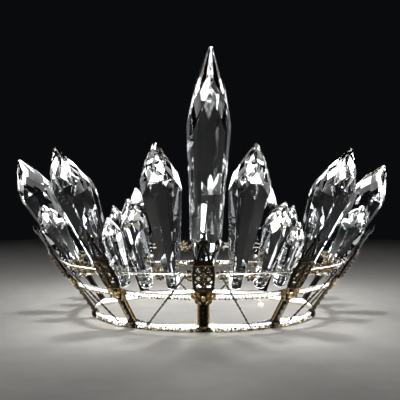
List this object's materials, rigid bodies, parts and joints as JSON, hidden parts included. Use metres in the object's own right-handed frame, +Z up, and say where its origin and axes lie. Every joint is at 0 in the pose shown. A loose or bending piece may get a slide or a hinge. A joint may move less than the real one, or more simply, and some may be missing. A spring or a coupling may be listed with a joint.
{
  "type": "crystal crown",
  "caption": "Full-circle crown with pointed cut-glass prisms strung on a wire ring above a flared openwork metal frame with ornamental ribs, worn on the head.",
  "frame": {"origin": "centre of the head opening, at the lower edge of the base band, which is the plane the crown stands on", "axes": "+Z up along the head opening's axis, -Y towards the front, where the tall spire stands, +X to the viewer's right"},
  "size_m": [0.25, 0.278, 0.1619],
  "materials": {
    "cut_glass": "polished clear",
    "antique_casting": "antiqued, dark in the hollows",
    "silver_band": "bright, set with small stones",
    "silver_wire": "satin",
    "dark_wire": "darkened",
    "bronze_beads": "antiqued",
    "pink_glass": "polished"
  },
  "bodies": {
    "crown": {"base_band": "silver_band", "brace_01": "dark_wire", "brace_02": "dark_wire", "brace_03": "dark_wire", "brace_04": "dark_wire", "brace_05": "dark_wire", "brace_06": "dark_wire", "brace_07": "dark_wire", "brace_08": "dark_wire", "brace_09": "dark_wire", "brace_10": "dark_wire", "drop_staple": "silver_wire", "middle_band": "silver_band", "outer_rail": "silver_wire", "prism_large_back": "cut_glass", "prism_large_left_1": "cut_glass", "prism_large_left_2": "cut_glass", "prism_large_left_3": "cut_glass", "prism_large_left_4": "cut_glass", "prism_large_right_1": "cut_glass", "prism_large_right_2": "cut_glass", "prism_large_right_3": "cut_glass", "prism_large_right_4": "cut_glass", "prism_medium_left_1": "cut_glass", "prism_medium_left_2": "cut_glass", "prism_medium_left_3": "cut_glass", "prism_medium_right_1": "cut_glass", "prism_medium_right_2": "cut_glass", "prism_medium_right_3": "cut_glass", "prism_small_left_1": "cut_glass", "prism_small_left_2": "cut_glass", "prism_small_left_3": "cut_glass", "prism_small_left_4": "cut_glass", "prism_small_right_1": "cut_glass", "prism_small_right_2": "cut_glass", "prism_small_right_3": "cut_glass", "prism_small_right_4": "cut_glass", "rib_01": "antique_casting", "rib_02": "antique_casting", "rib_03": "antique_casting", "rib_04": "antique_casting", "rib_05": "antique_casting", "rib_06": "antique_casting", "rib_07": "antique_casting", "rib_08": "antique_casting", "rib_09": "antique_casting", "rib_10": "antique_casting", "spacer_beads": "bronze_beads", "spire_front": "cut_glass", "stringing_wire": "silver_wire", "wire_ties": "silver_wire"},
    "drop": {"drop_eye_pin": "silver_wire", "drop_bead": "pink_glass"}
  },
  "joints": [
    {"name": "drop_swing", "type": "hinge", "parent": "crown", "child": "drop", "pos_m": [0.03431, -0.07779, 0.0209], "axis": [0.915, 0.4035, 0], "range_deg": [-60, 60]}
  ]
}
